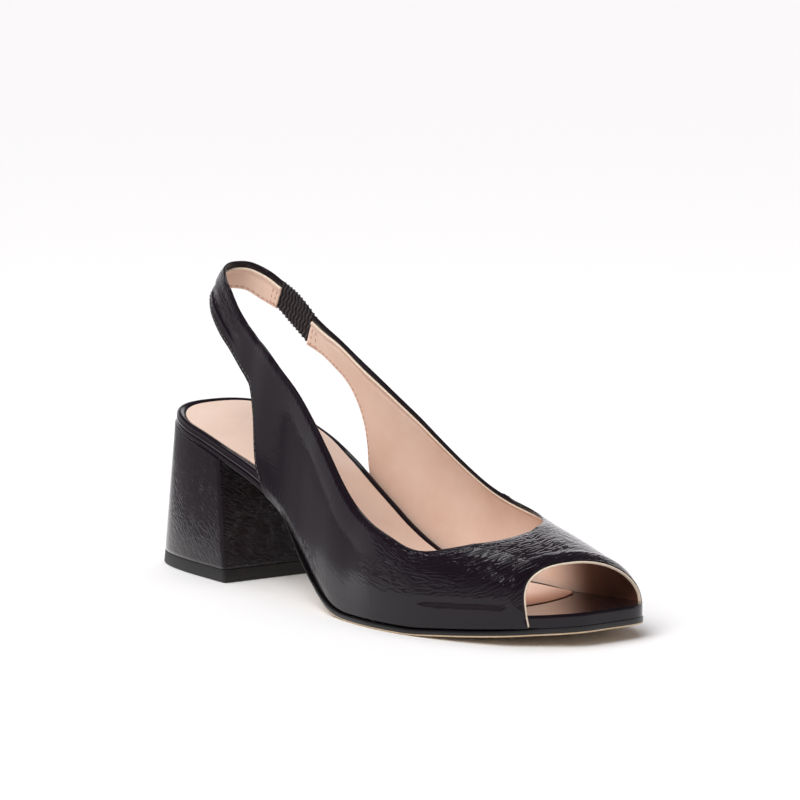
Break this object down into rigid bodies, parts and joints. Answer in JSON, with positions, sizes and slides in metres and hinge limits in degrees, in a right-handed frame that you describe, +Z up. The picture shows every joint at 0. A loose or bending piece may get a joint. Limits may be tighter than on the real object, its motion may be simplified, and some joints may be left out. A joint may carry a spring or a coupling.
{
  "type": "slingback shoe",
  "caption": "Women's peep-toe slingback pump for the right foot, in black crinkled patent leather, with a flared covered block heel and an elastic gore in the heel strap.",
  "frame": {"origin": "on the floor, under the middle of the shoe's length and width", "axes": "+X from heel to toe, +Y to the wearer's left, which is the inner side of this right shoe, +Z up"},
  "size_m": [0.262, 0.0854, 0.129],
  "materials": {
    "outsole": "black resin sole sheet, satin",
    "insole": "black patent leather wrap, glossy",
    "sock": "nude lining leather, matt",
    "upper": "black crinkled patent leather, glossy",
    "elastic_gore": "black ribbed elastic, matt",
    "heel": "black crinkled patent leather cover, glossy",
    "top_piece": "black rubber, matt"
  },
  "bodies": {
    "root": {"outsole": "outsole", "insole": "insole", "sock": "sock", "upper": "upper", "elastic_gore": "elastic_gore", "heel": "heel", "top_piece": "top_piece"}
  },
  "joints": []
}
